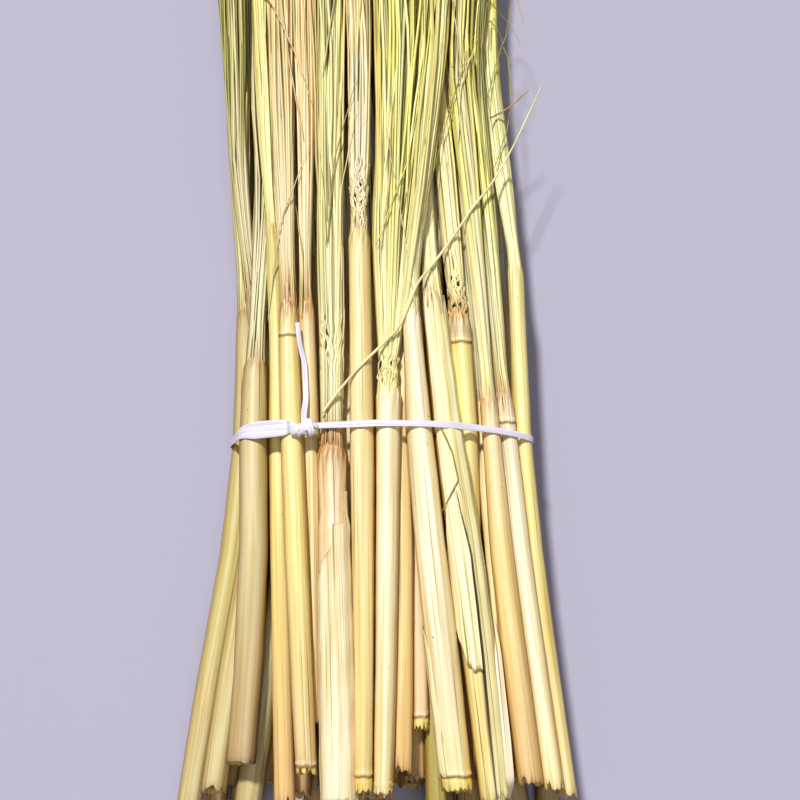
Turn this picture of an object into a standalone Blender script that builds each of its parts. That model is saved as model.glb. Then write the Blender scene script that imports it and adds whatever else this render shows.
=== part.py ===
"""A tied bunch of cut broomcorn, lying down with its cut ends at -Y and its brush at +Y.

Each stalk is one grown piece: a cut stem, the knuckle at its top, and a brush of long
fibres that grows from the knuckle and ends in two locks. The stalks lie packed in a
flattened oval, and one white plastic string ties them. Lengths in the tables are in
millimetres, measured from the tie along the bunch and from its middle across it.
"""

import math
import random
from dataclasses import dataclass

import bmesh
import bpy
import numpy as np
from mathutils import Matrix, Vector

MM = 0.001

# The whole bunch
HEIGHT_AT_TIE = 52.0
OUTLINE_Y = (-150, -50, 0, 60, 170, 300, 450)
OUTLINE_HALF_WIDTH = (78, 70, 66, 64, 62, 69, 76)
OUTLINE_HEIGHT = (48, 51, HEIGHT_AT_TIE, 54, 60, 54, 36)
OUTLINE_MIDDLE = (0, 0, 0, -2, -10, -16, -18)
CROWN = 170.0  # where the brushes are measured, above the tie
GAP = 0.9  # left between neighbouring stalks
FLOOR_CLEARANCE_AT_TIE = 2.2  # room for the string under the bunch
TIE_REACH = 30.0  # how far along the bunch that clearance is felt
LAYER_STEP = 9.5
FAN_OUT = 0.0011  # how the brushes part beyond the crown, per mm
LEAN_REACH = 50.0  # a brush keeps its lean this far beyond the crown
OVAL_POWER = 2.4

# How the stalks settle against each other
SETTLE_TURNS = 500
SETTLE_STEP = 15.0  # spacing of the places that settle
SOFTNESS = 0.80  # brushes press into each other
STEM_CLEARANCE = 0.3
PUSH_SHARE = 0.24
BEND_SHARE = 0.3
SQUEEZE_SHARE = 0.004  # the string draws the stalks together
SQUEEZE_REACH = 90.0
SINKING = 0.015
SEEN_HOLD = (0.45, 0.12)  # how firmly a seen stalk keeps its place, across and in height
UNSEEN_HOLD = (0.004, 0.002)

# Rows of unseen stalks: first and last x, how many, and the layer
SEED = 45
ROWS = ((-60, 60, 11, 4.2), (-60, 58, 11, 3.0), (-54, 57, 7, 1.9), (-66, -46, 3, 0.4))

# Sections along the bunch that a stalk's solid has, besides its own
STATIONS = (-95.0, -48.0, 0.0, 42.0, 80.0, 122.0, 170.0, 230.0, 300.0)

# A stalk
KNUCKLE_SWELL = 1.06
ROOT_LENGTH = 9.0  # from the knuckle to where the fibres part
ROOT_WAIST = 0.9
LOCK_LENGTH = 110.0
LOCK_TAPER = ((0.34, 0.84), (0.7, 0.56), (1.0, 0.0))  # share of its length, share of its size
FLUTE_DEPTH = 0.09
SEEN_SIDES = 8
UNSEEN_SIDES = 6
SHEATH_STEP = 1.5

# The string
STRING_WIDTH = 2.8
STRING_WIDE = 6.2  # where it lies flat, left of the knot
WIDE_FROM_TO = (-60.0, -50.0, -38.0, -33.0)  # x where it widens and narrows
STRING_THICKNESS = 0.7
STRING_GAP = 0.45
KNOT_AT = (-30.5, -1.5)
KNOT_HALF = (5.2, 3.9, 2.6)
KNOT_RISE = 2.2
KNOT_CLEARANCE = 0.25
TAIL_WIDTH = 1.9
TAIL_THICKNESS = 0.8
TAIL_STEPS = 13
TAIL_ROUTE = ((-30.2, 0.5), (-30.0, 11.0), (-30.3, 21.0), (-31.4, 31.0), (-33.0, 43.0))

# Colours
STRAW_COLOURS = ((0.80, 0.70, 0.38), (0.78, 0.64, 0.36), (0.74, 0.72, 0.42), (0.86, 0.78, 0.55))
STRAW_ROUGHNESS = 0.55
STRING_COLOUR = (0.85, 0.83, 0.90)
STRING_ROUGHNESS = 0.4


@dataclass
class Stalk:
    """Measures of one stalk: y along the bunch, x across it, and radii."""

    butt: float  # y of the cut end
    knuckle: float  # y where the brush begins
    radii: tuple  # at the cut end, halfway to the tie, at the tie, at the knuckle
    across: tuple  # x at the cut end, halfway to the tie, at the tie, knuckle and crown
    spread: float  # half width of the brush at the crown
    layer: float  # 0 lies on top of the bunch at the tie, 1 one stalk lower, and so on
    crown_layer: float  # the same at the crown
    brush: float = 385.0  # length of the brush
    sheath: float = None  # y of the upper edge of a wrapped leaf sheath
    butt_layer: float = None  # the layer at the cut end, where it isn't that at the tie

    @property
    def tip(self):
        return self.knuckle + self.brush

    def radius(self, y):
        low_knuckle = min(0.0, self.knuckle - 8.0)
        if y < self.knuckle and y <= 0.0:
            return float(np.interp(y, (self.butt, self.butt * 0.5, low_knuckle), self.radii[:3]))
        if y < self.knuckle:
            return float(np.interp(y, (0.0, self.knuckle), self.radii[2:]))
        root = self.radii[3] * ROOT_WAIST
        full = max(CROWN - self.knuckle, 60.0)
        widest = self.spread * 1.15
        profile = (
            (0.0, self.radii[3]),
            (ROOT_LENGTH, root),
            (full * 0.45, root + (self.spread - root) * 0.62),
            (full, self.spread),
            (full + 90.0, widest),
            (self.brush * 0.86, widest * 0.85),
            (self.brush, widest * 0.55),
        )
        return float(np.interp(y - self.knuckle, *zip(*profile)))

    def x(self, y):
        places = (self.butt, self.butt * 0.5, 0.0, max(self.knuckle, 12.0), CROWN)
        past = max(y - CROWN, 0.0)
        lean = (self.across[4] - self.across[3]) / (CROWN - places[3])
        fan = (self.across[4] - OUTLINE_MIDDLE[-1]) * FAN_OUT * past
        leaning = lean * LEAN_REACH * (1 - math.exp(-past / LEAN_REACH))
        return curve_through(places, self.across, y) + leaning + fan


def curve_through(places, values, at):
    """A smooth curve through a few measured points, level beyond the last ones."""
    slopes = np.gradient(np.array(values), np.array(places))
    at = min(max(at, places[0]), places[-1])
    if at == places[0]:
        return values[0]
    k = int(np.searchsorted(places, at)) - 1
    span = places[k + 1] - places[k]
    t = (at - places[k]) / span
    a = (2 * t**3 - 3 * t**2 + 1) * values[k] + (t**3 - 2 * t**2 + t) * span * slopes[k]
    b = (3 * t**2 - 2 * t**3) * values[k + 1] + (t**3 - t**2) * span * slopes[k + 1]
    return float(a + b)


# The stalks that lie on top, from left to right
SEEN = (
    Stalk(-146, 90, (4.0, 3.6, 4.0, 3.6), (-34.5, -38.5, -42.5, -46, -51), 6.5, 0.7, 0.3),
    Stalk(-135, 52, (3.9, 4.7, 4.7, 3.8), (-26, -31, -35.4, -38, -44), 7.0, 0.0, 0.0),
    Stalk(-116, 53, (3.2, 3.4, 3.6, 3.2), (-23, -25.8, -28.6, -31.2, -34.5), 5.5, 0.5, 0.2),
    Stalk(-145, -11, (6.8, 6.9, 5.5, 5.6), (-13.7, -16.6, -19.5, -19.6, -22.6), 6.9, 0.0, 0.0, 400, -40),
    Stalk(-142, 82, (3.8, 4.5, 5.0, 4.3), (-5.0, -5.8, -7.0, -9.1, -10.2), 7.6, 0.0, 0.0, 380),
    Stalk(-143, 14, (3.7, 4.4, 4.8, 4.9), (0.4, 2.2, 3.2, 3.2, 8.0), 11.0, 0.0, 0.0, 395),
    Stalk(-134, 30, (3.9, 3.9, 3.9, 3.8), (8.7, 9.4, 10.2, 11.0, 15.0), 6.0, 0.55, 1.3),
    Stalk(-118, 42, (3.4, 3.4, 3.6, 3.4), (16.0, 15.8, 15.0, 16.5, 19.0), 6.0, 1.1, 2.0),
    Stalk(-141, 47, (5.8, 6.6, 5.5, 3.5), (29.8, 22.4, 15.6, 12.2, 23.0), 7.5, 0.0, 0.0, 370),
    Stalk(-152, 70, (4.4, 4.4, 4.4, 4.2), (21.5, 21.0, 20.6, 21.0, 26.0), 6.5, 1.2, 1.6),
    Stalk(-145, 57, (5.4, 7.1, 5.5, 4.4), (43.5, 35.8, 27.3, 21.6, 14.5), 6.5, 0.0, 1.0, 390),
    Stalk(-131, 48, (4.2, 4.3, 4.6, 4.6), (40.0, 39.0, 35.4, 32.4, 24.0), 7.5, 0.25, 0.8, 380, butt_layer=1.1),
    Stalk(-137, 12, (3.6, 3.6, 3.4, 3.2), (47.0, 44.0, 40.6, 40.5, 31.0), 6.5, 0.8, 0.9),
    Stalk(-138, 12, (4.9, 5.0, 3.6, 3.2), (58.0, 49.5, 45.0, 44.4, 33.0), 6.5, 0.1, 0.4, 405),
    Stalk(-140, 14, (4.1, 3.9, 3.8, 3.4), (66.0, 57.5, 52.2, 50.7, 39.0), 6.5, 0.2, 0.3, 395),
    Stalk(-136, 30, (3.0, 3.0, 3.4, 3.4), (52.6, 49.0, 46.5, 46.0, 42.0), 6.0, 1.4, 1.8),
    Stalk(-142, 74, (3.9, 3.8, 3.8, 3.1), (71.0, 62.5, 57.8, 57.4, 48.0), 6.5, 0.2, 0.2, 385),
)


def top_of_bunch(x, y):
    """Height of the oval outline of the bunch."""
    width = np.interp(y, OUTLINE_Y, OUTLINE_HALF_WIDTH) + 3.0
    height = np.interp(y, OUTLINE_Y, OUTLINE_HEIGHT)
    middle = np.interp(y, OUTLINE_Y, OUTLINE_MIDDLE)
    across = np.clip(np.abs(x - middle) / width, 0.0, 0.985)
    return height * (0.5 + 0.5 * np.sqrt(1.0 - across**OVAL_POWER))


def floor_at(y):
    """Least height of a stalk's underside: the string lifts the bunch a little at the tie."""
    return np.interp(np.abs(y), (0.0, TIE_REACH), (FLOOR_CLEARANCE_AT_TIE, 0.0))


def unseen_stalks():
    """The stalks below and to the left of those that lie on top, in rows."""
    dice = random.Random(SEED)
    made = []
    for left, right, number, layer in ROWS:
        for k in range(number):
            x = left + (right - left) * (k + 0.5) / number
            r = dice.uniform(4.9, 6.0)
            lean = dice.uniform(-2.5, 2.5)
            made.append(
                Stalk(
                    butt=dice.uniform(-150, -128),
                    knuckle=dice.uniform(20, 92),
                    radii=(r * 0.93, r, r, r * 0.88),
                    across=(
                        x * 1.12 + lean,
                        x * 1.05 + lean / 2,
                        x,
                        x * 0.98,
                        x * 0.92 - 8.0 - lean,
                    ),
                    spread=dice.uniform(6.6, 7.8),
                    layer=layer,
                    crown_layer=layer,
                    brush=dice.uniform(350, 400),
                )
            )
    return made


class Bunch:
    """Places every stalk along the bunch, resting on the floor and on each other."""

    def __init__(self, stalks):
        self.stalks = stalks
        seen = np.arange(len(stalks)) < len(SEEN)
        self.ys = np.arange(-150.0, 481.0, SETTLE_STEP)
        ys = self.ys[:, None]
        self.r = np.array([[s.radius(y) for s in stalks] for y in self.ys])
        self.x = np.array([[s.x(y) for s in stalks] for y in self.ys])
        brush = ys > np.array([s.knuckle for s in stalks])
        self.packed = np.where(brush, self.r * SOFTNESS, self.r + STEM_CLEARANCE)
        layer = np.array([s.layer for s in stalks])
        crown_layer = np.array([s.crown_layer for s in stalks])
        butt_layer = np.array([s.layer if s.butt_layer is None else s.butt_layer for s in stalks])
        rise = (crown_layer - layer) * np.clip(ys / CROWN, 0.0, 1.0)
        layer = layer + rise + (butt_layer - layer) * np.clip(-ys / 70.0, 0.0, 1.0)
        self.z = np.maximum(top_of_bunch(self.x, ys) - self.r - layer * LAYER_STEP, self.r)
        self.floor = floor_at(ys)
        known = np.clip(1.0 - (ys - CROWN) / 90.0, 0.03, 1.0)
        hold_x = np.where(seen, SEEN_HOLD[0] * known, UNSEEN_HOLD[0])
        hold_z = np.where(seen, SEEN_HOLD[1] * known, UNSEEN_HOLD[1])
        self.settle(hold_x, hold_z)

    def settle(self, hold_x, hold_z):
        """Pushes stalks apart until none press on each other, bending them as little as it can."""
        ys = self.ys[:, None]
        goal_x, goal_z = self.x.copy(), self.z.copy()
        squeeze = SQUEEZE_SHARE * np.clip(1.0 - np.abs(ys) / SQUEEZE_REACH, 0.0, 1.0)
        reach = self.packed[:, :, None] + self.packed[:, None, :]
        itself = np.eye(len(self.stalks), dtype=bool)
        for _ in range(SETTLE_TURNS):
            dx = self.x[:, :, None] - self.x[:, None, :]
            dz = self.z[:, :, None] - self.z[:, None, :]
            apart = np.sqrt(dx**2 + dz**2) + 1e-6
            pressed = np.where(itself, 0.0, np.clip(reach - apart, 0.0, None))
            push = pressed * PUSH_SHARE / apart
            self.x += (push * dx).sum(axis=2) + (goal_x - self.x) * hold_x - self.x * squeeze
            self.z += (push * dz).sum(axis=2) + (goal_z - self.z) * hold_z
            self.z += (HEIGHT_AT_TIE / 2 - self.z) * squeeze - SINKING
            for values in (self.x, self.z):
                middle = 0.5 * (values[:-2] + values[2:])
                values[1:-1] += BEND_SHARE * (middle - values[1:-1])
            ceiling = top_of_bunch(self.x, ys)
            height = np.interp(ys, OUTLINE_Y, OUTLINE_HEIGHT)
            rounded = np.clip(1.0 - np.abs(ys) / 140.0, 0.0, 1.0) * 0.8
            base = self.packed * 0.97 + self.floor + (height - ceiling) * rounded
            self.z = np.maximum(np.minimum(self.z, ceiling - self.packed * 0.9), base)
            middle = np.interp(ys, OUTLINE_Y, OUTLINE_MIDDLE)
            side = np.interp(ys, OUTLINE_Y, OUTLINE_HALF_WIDTH) - self.packed
            inside = np.clip(self.x, middle - side, middle + side)
            self.x = np.where(ys > 60.0, inside, self.x)

    def centre(self, k, y):
        return float(np.interp(y, self.ys, self.x[:, k])), float(np.interp(y, self.ys, self.z[:, k]))

    def room(self, k, y):
        """The radius that neighbours leave to stalk k at y."""
        return float(np.interp(y, self.ys, self.r[:, k]))

    def limits(self, k, y):
        """Straight limits to the section of stalk k: (direction, distance) from its centre."""
        x, z = self.centre(k, y)
        r = self.room(k, y)
        found = []
        for j, other in enumerate(self.stalks):
            if j == k or not other.butt - 12.0 < y < other.tip + 12.0:
                continue
            ox, oz = self.centre(j, y)
            apart = math.hypot(ox - x, oz - z)
            reach = self.room(j, y)
            if apart < r + reach + 4.0:
                limit = (apart**2 + r**2 - reach**2) / (2.0 * apart) - GAP * 0.5
                found.append((math.atan2(oz - z, ox - x), limit))
        found.append((-math.pi / 2, z - float(floor_at(y))))
        return found

    def section(self, k, y, sides=8, grow=1.0, flute=0.0):
        """The outline of stalk k at y: round where it is free, flat where it meets others."""
        x, z = self.centre(k, y)
        limits = self.limits(k, y)
        points = []
        for side in range(sides):
            angle = 2.0 * math.pi * side / sides
            out = self.stalks[k].radius(y) * grow * (1.0 - flute * (side % 2))
            for toward, limit in limits:
                facing = math.cos(angle - toward)
                if facing > 1e-3:
                    out = min(out, limit / facing)
            points.append((x + out * math.cos(angle), z + out * math.sin(angle)))
        return points

    def keep_clear(self, k, sections, hold_first=False):
        """Draws sections in where the straight sides between two of them pass a limit."""
        for low, high in list(zip(sections, sections[1:])) * 4:
            for share in np.arange(0.1, 0.95, 0.1):
                y = low[0] + (high[0] - low[0]) * share
                x, z = self.centre(k, y)
                limits = self.limits(k, y)
                for side, (a, b) in enumerate(zip(low[1], high[1])):
                    px = a[0] + (b[0] - a[0]) * share - x
                    pz = a[1] + (b[1] - a[1]) * share - z
                    over = max(px * math.cos(t) + pz * math.sin(t) - limit for t, limit in limits)
                    if over > 0.0:
                        high[1][side] = drawn_in(b, self.centre(k, high[0]), over)
                        if not (hold_first and low is sections[0]):
                            low[1][side] = drawn_in(a, self.centre(k, low[0]), over)


def drawn_in(point, centre, distance):
    reach = max(math.dist(point, centre), 1e-6)
    share = max(1.0 - distance / reach, 0.15)
    return centre[0] + (point[0] - centre[0]) * share, centre[1] + (point[1] - centre[1]) * share


def clear_scene():
    for old in list(bpy.data.objects):
        bpy.data.objects.remove(old, do_unlink=True)


def finish(name, colour, roughness):
    material = bpy.data.materials.new(name)
    material.use_nodes = True
    shader = material.node_tree.nodes["Principled BSDF"]
    shader.inputs["Base Color"].default_value = (*colour, 1.0)
    shader.inputs["Roughness"].default_value = roughness
    shader.inputs["Metallic"].default_value = 0.0
    return material


def add_object(name, bm, material):
    mesh = bpy.data.meshes.new(name)
    bm.to_mesh(mesh)
    bm.free()
    mesh.materials.append(material)
    mesh.shade_smooth()
    mesh.set_sharp_from_angle(angle=math.radians(50.0))
    made = bpy.data.objects.new(name, mesh)
    bpy.context.scene.collection.objects.link(made)
    return made


def place(points, y):
    return [Vector((x, y, z)) * MM for x, z in points]


def raise_cap(bm, cap, points, first=False):
    """Extrudes the end face of a solid and sets its corners on the next section."""
    made = bmesh.ops.extrude_face_region(bm, geom=[cap])["geom"]
    end = next(part for part in made if isinstance(part, bmesh.types.BMFace))
    if not first:
        bmesh.ops.delete(bm, geom=[cap], context="FACES_ONLY")
    for corner, point in zip(end.verts, points):
        corner.co = point
    return end


def point_cap(bm, cap, tip):
    made = bmesh.ops.poke(bm, faces=[cap])
    made["verts"][0].co = tip


def middle_of(points):
    return (
        sum(p[0] for p in points) / len(points),
        sum(p[1] for p in points) / len(points),
    )


def toward(points, middle, share):
    return [
        (middle[0] + (x - middle[0]) * share, middle[1] + (z - middle[1]) * share)
        for x, z in points
    ]


def section_places(stalk):
    """The y of every section from the cut end to where the brush parts into locks."""
    fork = stalk.tip - LOCK_LENGTH
    own = [stalk.butt, stalk.knuckle - 4.0, stalk.knuckle + ROOT_LENGTH, fork]
    if stalk.sheath is not None and stalk.sheath < stalk.knuckle - 12.0:
        own += [stalk.sheath, stalk.sheath + SHEATH_STEP]
    between = [y for y in STATIONS if stalk.butt < y < fork]
    return sorted(own + [y for y in between if min(abs(y - place) for place in own) > 15.0])


def size_at(stalk, y):
    """How much a section is swollen or bare of its sheath, as a share of its radius."""
    if stalk.sheath is not None and stalk.sheath < y < stalk.knuckle - 12.0:
        return 0.86
    if abs(y - stalk.knuckle + 4.0) < 0.5:
        return KNUCKLE_SWELL
    return 1.0


def outlines_of(bunch, k, sides):
    """The sections (y, outline) of stalk k, and for its two locks the corners that each has."""
    stalk = bunch.stalks[k]
    body = []
    for y in section_places(stalk):
        flute = FLUTE_DEPTH if y > stalk.knuckle + ROOT_LENGTH + 1.0 else 0.0
        body.append((y, bunch.section(k, y, sides, size_at(stalk, y), flute)))
    bunch.keep_clear(k, body)
    fork, last = body[-1]
    top, bottom = sides // 4, 3 * sides // 4
    locks = []
    for numbers in (range(top, bottom + 1), range(bottom, sides + top + 1)):
        numbers = [number % sides for number in numbers]
        longer = (0 in numbers) == (k % 2 == 0)
        tip = stalk.tip - (0.0 if longer else 22.0 + (k * 7) % 17)
        lock = [(fork, [last[number] for number in numbers])]
        for share, size in LOCK_TAPER:
            y = fork + (tip - fork) * share
            outline = bunch.section(k, y, sides, 1.0, FLUTE_DEPTH)
            chosen = [outline[number] for number in numbers]
            lock.append((y, toward(chosen, middle_of(chosen), size)))
        bunch.keep_clear(k, lock, hold_first=True)
        locks.append((numbers, lock))
    return body, locks


def add_stalk(bunch, k, name, material, sides):
    body, locks = outlines_of(bunch, k, sides)
    bm = bmesh.new()
    y, outline = body[0]
    cap = bm.faces.new([bm.verts.new(point) for point in place(outline, y)])
    for number, (y, outline) in enumerate(body[1:]):
        cap = raise_cap(bm, cap, place(outline, y), first=number == 0)
    corners = list(cap.verts)
    crotch = {corners[sides // 4], corners[3 * sides // 4]}
    bmesh.utils.face_split(cap, *crotch)
    for half in [face for face in bm.faces if crotch <= set(face.verts)]:
        numbers, lock = locks[1 if corners[0] in half.verts else 0]
        order = [numbers.index(corners.index(corner)) for corner in half.verts]
        end = half
        for y, outline in lock[1:-1]:
            end = raise_cap(bm, end, place([outline[n] for n in order], y))
        tip, last = lock[-1]
        x, z = middle_of(last)
        point_cap(bm, end, Vector((x, tip, z)) * MM)
    bmesh.ops.recalc_face_normals(bm, faces=bm.faces)
    if bm.calc_volume(signed=True) < 0.0:
        bmesh.ops.reverse_faces(bm, faces=bm.faces)
    return add_object(name, bm, material)


def turn_of(a, b, c):
    return (b[0] - a[0]) * (c[1] - a[1]) - (b[1] - a[1]) * (c[0] - a[0])


def tight_line(points):
    """The closed line that a tight string takes round points, anticlockwise."""
    points = sorted(points)
    line = []
    for run in (points, points[::-1]):
        part = []
        for p in run:
            while len(part) > 1 and turn_of(part[-2], part[-1], p) <= 0.0:
                part.pop()
            part.append(p)
        line += part[:-1]
    return line


def moved_out(line, distance):
    """The line offset outwards, with mitred corners."""
    out = []
    for before, here, after in zip(line[-1:] + line[:-1], line, line[1:] + line[:1]):
        first = Vector((here[1] - before[1], before[0] - here[0])).normalized()
        second = Vector((after[1] - here[1], here[0] - after[0])).normalized()
        mitre = (first + second).normalized()
        reach = distance / max(mitre.dot(first), 0.5)
        out.append((here[0] + mitre.x * reach, here[1] + mitre.y * reach))
    return out


def string_line(bunch):
    """The inner line of the string, over every stalk across the string's width."""
    points = []
    for y in (-STRING_WIDE / 2, 0.0, STRING_WIDE / 2):
        for k in range(len(bunch.stalks)):
            points += bunch.section(k, y, sides=16)
    line = []
    for point in moved_out(tight_line(points), STRING_GAP):
        if not line or math.dist(point, line[-1]) > 0.9:
            line.append(point)
    return line


def string_width(x, z):
    """The string lies flat and wide over the upper left of the bunch."""
    if z < HEIGHT_AT_TIE * 0.5:
        return STRING_WIDTH
    return float(np.interp(x, WIDE_FROM_TO, (STRING_WIDTH, STRING_WIDE, STRING_WIDE, STRING_WIDTH)))


def add_band(line, material):
    """The string round the bunch: its four edge lines, joined by four strips."""
    bm = bmesh.new()
    outer = moved_out(line, STRING_THICKNESS)
    edge_lines = []
    for path, side in ((line, -0.5), (outer, -0.5), (outer, 0.5), (line, 0.5)):
        corners = []
        for (x, z), inner in zip(path, line):
            corners.append(bm.verts.new(Vector((x, side * string_width(*inner), z)) * MM))
        edge_lines.append(corners)
    for first, second in zip(edge_lines, edge_lines[1:] + edge_lines[:1]):
        for n in range(len(line)):
            bm.faces.new((first[n - 1], first[n], second[n], second[n - 1]))
    bmesh.ops.recalc_face_normals(bm, faces=bm.faces)
    return add_object("tie", bm, material)


def height_over(bunch, x, y, reach):
    """The highest point of the stalks within reach of a place, seen from above."""
    highest = 0.0
    for k, stalk in enumerate(bunch.stalks):
        if not stalk.butt < y < stalk.tip:
            continue
        for px, pz in bunch.section(k, y, sides=24, grow=KNUCKLE_SWELL):
            if abs(px - x) < reach:
                highest = max(highest, pz)
    return highest


def add_knot(line, material):
    """The lump of the knot, flattened where it rests on the stalks."""
    bm = bmesh.new()
    bmesh.ops.create_uvsphere(bm, u_segments=10, v_segments=7, radius=1.0)
    x, y = KNOT_AT
    base = max(height_of(line, x + side) for side in (-4.0, 0.0, 4.0))
    middle = Vector((x, y, base + KNOT_RISE))
    for corner in bm.verts:
        corner.co = corner.co * Vector(KNOT_HALF) + middle
        corner.co.z = max(corner.co.z, height_of(line, corner.co.x) + KNOT_CLEARANCE)
        corner.co *= MM
    return add_object("knot_lump", bm, material)


def height_of(line, x):
    """Height of the string's upper half at x."""
    upper = sorted(point for point in line if point[1] > HEIGHT_AT_TIE * 0.45)
    return float(np.interp(x, *zip(*upper)))


def add_tail(bunch, line, material):
    """The upright tail: a flat strip that lies in the groove between two stalks."""
    bm = bmesh.new()
    half = TAIL_WIDTH / 2
    tail_y = [place_y for _, place_y in TAIL_ROUTE]
    tail_x = [place_x for place_x, _ in TAIL_ROUTE]
    cap = None
    for number, y in enumerate(np.linspace(tail_y[0], tail_y[-1], TAIL_STEPS)):
        x = float(np.interp(y, tail_y, tail_x))
        z = max(height_over(bunch, x, y + dy, TAIL_WIDTH * 0.75) for dy in (-2.0, 0.0, 2.0))
        if y < STRING_WIDE:
            z = max(z, height_of(line, x))
        low = z + STRING_GAP + 0.1
        high = low + TAIL_THICKNESS
        section = [(x - half, low), (x + half, low), (x + half, high), (x - half, high)]
        if cap is None:
            cap = bm.faces.new([bm.verts.new(point) for point in place(section, y)])
        else:
            cap = raise_cap(bm, cap, place(section, y), first=number == 1)
    bmesh.ops.recalc_face_normals(bm, faces=bm.faces)
    return add_object("tail_strip", bm, material)


def add_tie(bunch, material):
    line = string_line(bunch)
    tie = add_band(line, material)
    for helper in (add_knot(line, material), add_tail(bunch, line, material)):
        helper.hide_render = True
        helper.display_type = "WIRE"
        join = tie.modifiers.new(helper.name, "BOOLEAN")
        join.operation = "UNION"
        join.object = helper
    return tie


def centre_on_origin(objects):
    """Moves the bunch so that the middle of its underside is the origin."""
    bpy.context.view_layer.update()
    corners = [ob.matrix_world @ v.co for ob in objects for v in ob.data.vertices]
    low = [min(c[k] for c in corners) for k in range(3)]
    high = [max(c[k] for c in corners) for k in range(3)]
    shift = Vector((-(low[0] + high[0]) / 2, -(low[1] + high[1]) / 2, -low[2]))
    for ob in objects:
        ob.data.transform(Matrix.Translation(shift))


def main():
    clear_scene()
    bunch = Bunch(list(SEEN) + unseen_stalks())
    order = sorted(range(len(bunch.stalks)), key=lambda k: bunch.centre(k, 0.0)[0])
    objects = []
    for number, k in enumerate(order, 1):
        name = f"stalk_{number:02d}"
        sides = SEEN_SIDES if k < len(SEEN) else UNSEEN_SIDES
        material = finish(name, STRAW_COLOURS[k % 4], STRAW_ROUGHNESS)
        objects.append(add_stalk(bunch, k, name, material, sides))
    objects.append(add_tie(bunch, finish("tie", STRING_COLOUR, STRING_ROUGHNESS)))
    helpers = [ob for ob in bpy.data.objects if ob.hide_render]
    centre_on_origin(objects + helpers)


main()
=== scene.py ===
"""Looks of a tied bunch of cut broomcorn: dry stems, brushes of fine fibres, torn leaf sheaths
and flat plastic string. Lengths are in millimetres from the tie and the middle of the bunch,
and become metres in the model's frame where a mesh is shaped."""

import math

import bmesh
import bpy
import numpy as np
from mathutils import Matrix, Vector

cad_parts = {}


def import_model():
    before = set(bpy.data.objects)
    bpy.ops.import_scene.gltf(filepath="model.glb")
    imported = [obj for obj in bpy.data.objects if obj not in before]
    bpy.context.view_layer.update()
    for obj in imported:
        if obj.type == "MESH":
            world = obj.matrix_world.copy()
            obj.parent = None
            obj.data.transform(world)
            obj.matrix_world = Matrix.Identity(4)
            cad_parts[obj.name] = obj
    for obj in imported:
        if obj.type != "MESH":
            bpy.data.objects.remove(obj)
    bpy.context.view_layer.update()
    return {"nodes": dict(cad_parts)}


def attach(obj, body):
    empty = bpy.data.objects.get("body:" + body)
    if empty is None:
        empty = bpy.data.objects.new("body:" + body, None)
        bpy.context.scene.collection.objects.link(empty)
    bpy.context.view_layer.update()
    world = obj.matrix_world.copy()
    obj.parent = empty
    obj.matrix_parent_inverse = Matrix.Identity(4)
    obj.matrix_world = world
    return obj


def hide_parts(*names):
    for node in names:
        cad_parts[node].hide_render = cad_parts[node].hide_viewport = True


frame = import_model()

MM = 0.001
TIE_Y = -161.5
MIDDLE_X = 4.765
DIRECTIONS = 24
ROOM_FOR_FLOOR = 0.7

# Sides and rings of the tubes that stems and fibres are shaped from
SEEN_STEM = (64, 112)
OTHER_STEM = (24, 64)
CURLED_FIBRE = (4, 40)
SEEN_FIBRE = (4, 17)
OTHER_FIBRE = (3, 11)
CUT_PROFILE = ((0.0, 2.2), (0.5, 1.9), (0.8, 0.8), (0.95, 0.1))  # share of the radius, depth


def linear(red, green, blue):
    """A screen colour of 0 to 255 as light."""
    share = np.array((red, green, blue)) / 255.0
    return np.where(share <= 0.04045, share / 12.92, ((share + 0.055) / 1.055) ** 2.4)


# Colours of the dry plant, and the shares of their colour that stems and fibres keep where shade is painted
CREAM = linear(248, 242, 220)
STRAW = linear(241, 227, 180)
YELLOW = linear(236, 224, 158)
ORANGE = linear(228, 197, 148)
TAN = linear(226, 204, 164)
BROWN = linear(134, 88, 46)
OLIVE = linear(168, 160, 88)
PINK = linear(230, 207, 174)
BLOND = linear(231, 212, 156)
PALE_GREEN = linear(228, 226, 166)
YELLOW_GREEN = linear(229, 224, 136)
GREY_GREEN = linear(204, 204, 148)
PALE_PINK = linear(242, 224, 194)
LEAF_PALE = linear(240, 239, 188)
END_PIECE = linear(242, 226, 142)
PAINTED_FLANK_SHADE = np.array((0.86, 0.70, 0.44))  # painted shade: what the sides of a stem keep of its colour, as if lit from above
# Painted shade: what the underside of a stem keeps of its colour, where it faces the gaps between stalks
PAINTED_GAP_SHADE = np.array((0.66, 0.52, 0.36))
# Painted shade: what the fibres on the sides and underside of a brush keep of their colour
PAINTED_FIBRE_SHADE = np.array((0.74, 0.68, 0.50))

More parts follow.
